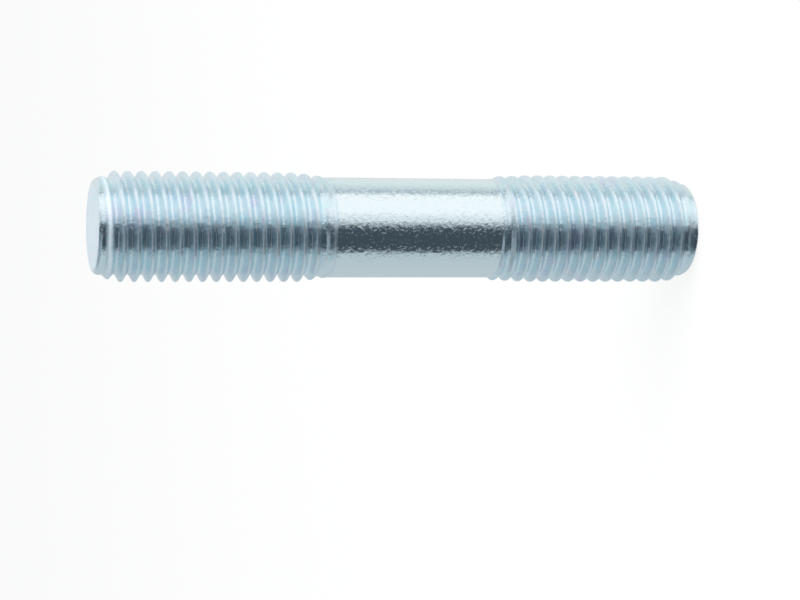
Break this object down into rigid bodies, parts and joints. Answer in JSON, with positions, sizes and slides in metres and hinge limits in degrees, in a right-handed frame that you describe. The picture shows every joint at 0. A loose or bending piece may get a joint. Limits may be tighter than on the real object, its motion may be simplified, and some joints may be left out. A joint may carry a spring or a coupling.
{
  "type": "double ended stud",
  "caption": "Straight steel stud with a coarse thread on each end and a plain shank between them, for clamping two parts with nuts or a tapped hole.",
  "frame": {"origin": "centre of the bottom end face, which the stud stands on", "axes": "+Z along the stud, from the bottom end to the top end; X and Y are across it"},
  "size_m": [0.016, 0.016, 0.0905],
  "materials": {
    "zinc_plate": "bright blue-white passivated zinc plate over rolled steel"
  },
  "bodies": {
    "root": {"stud": "zinc_plate"}
  },
  "joints": []
}
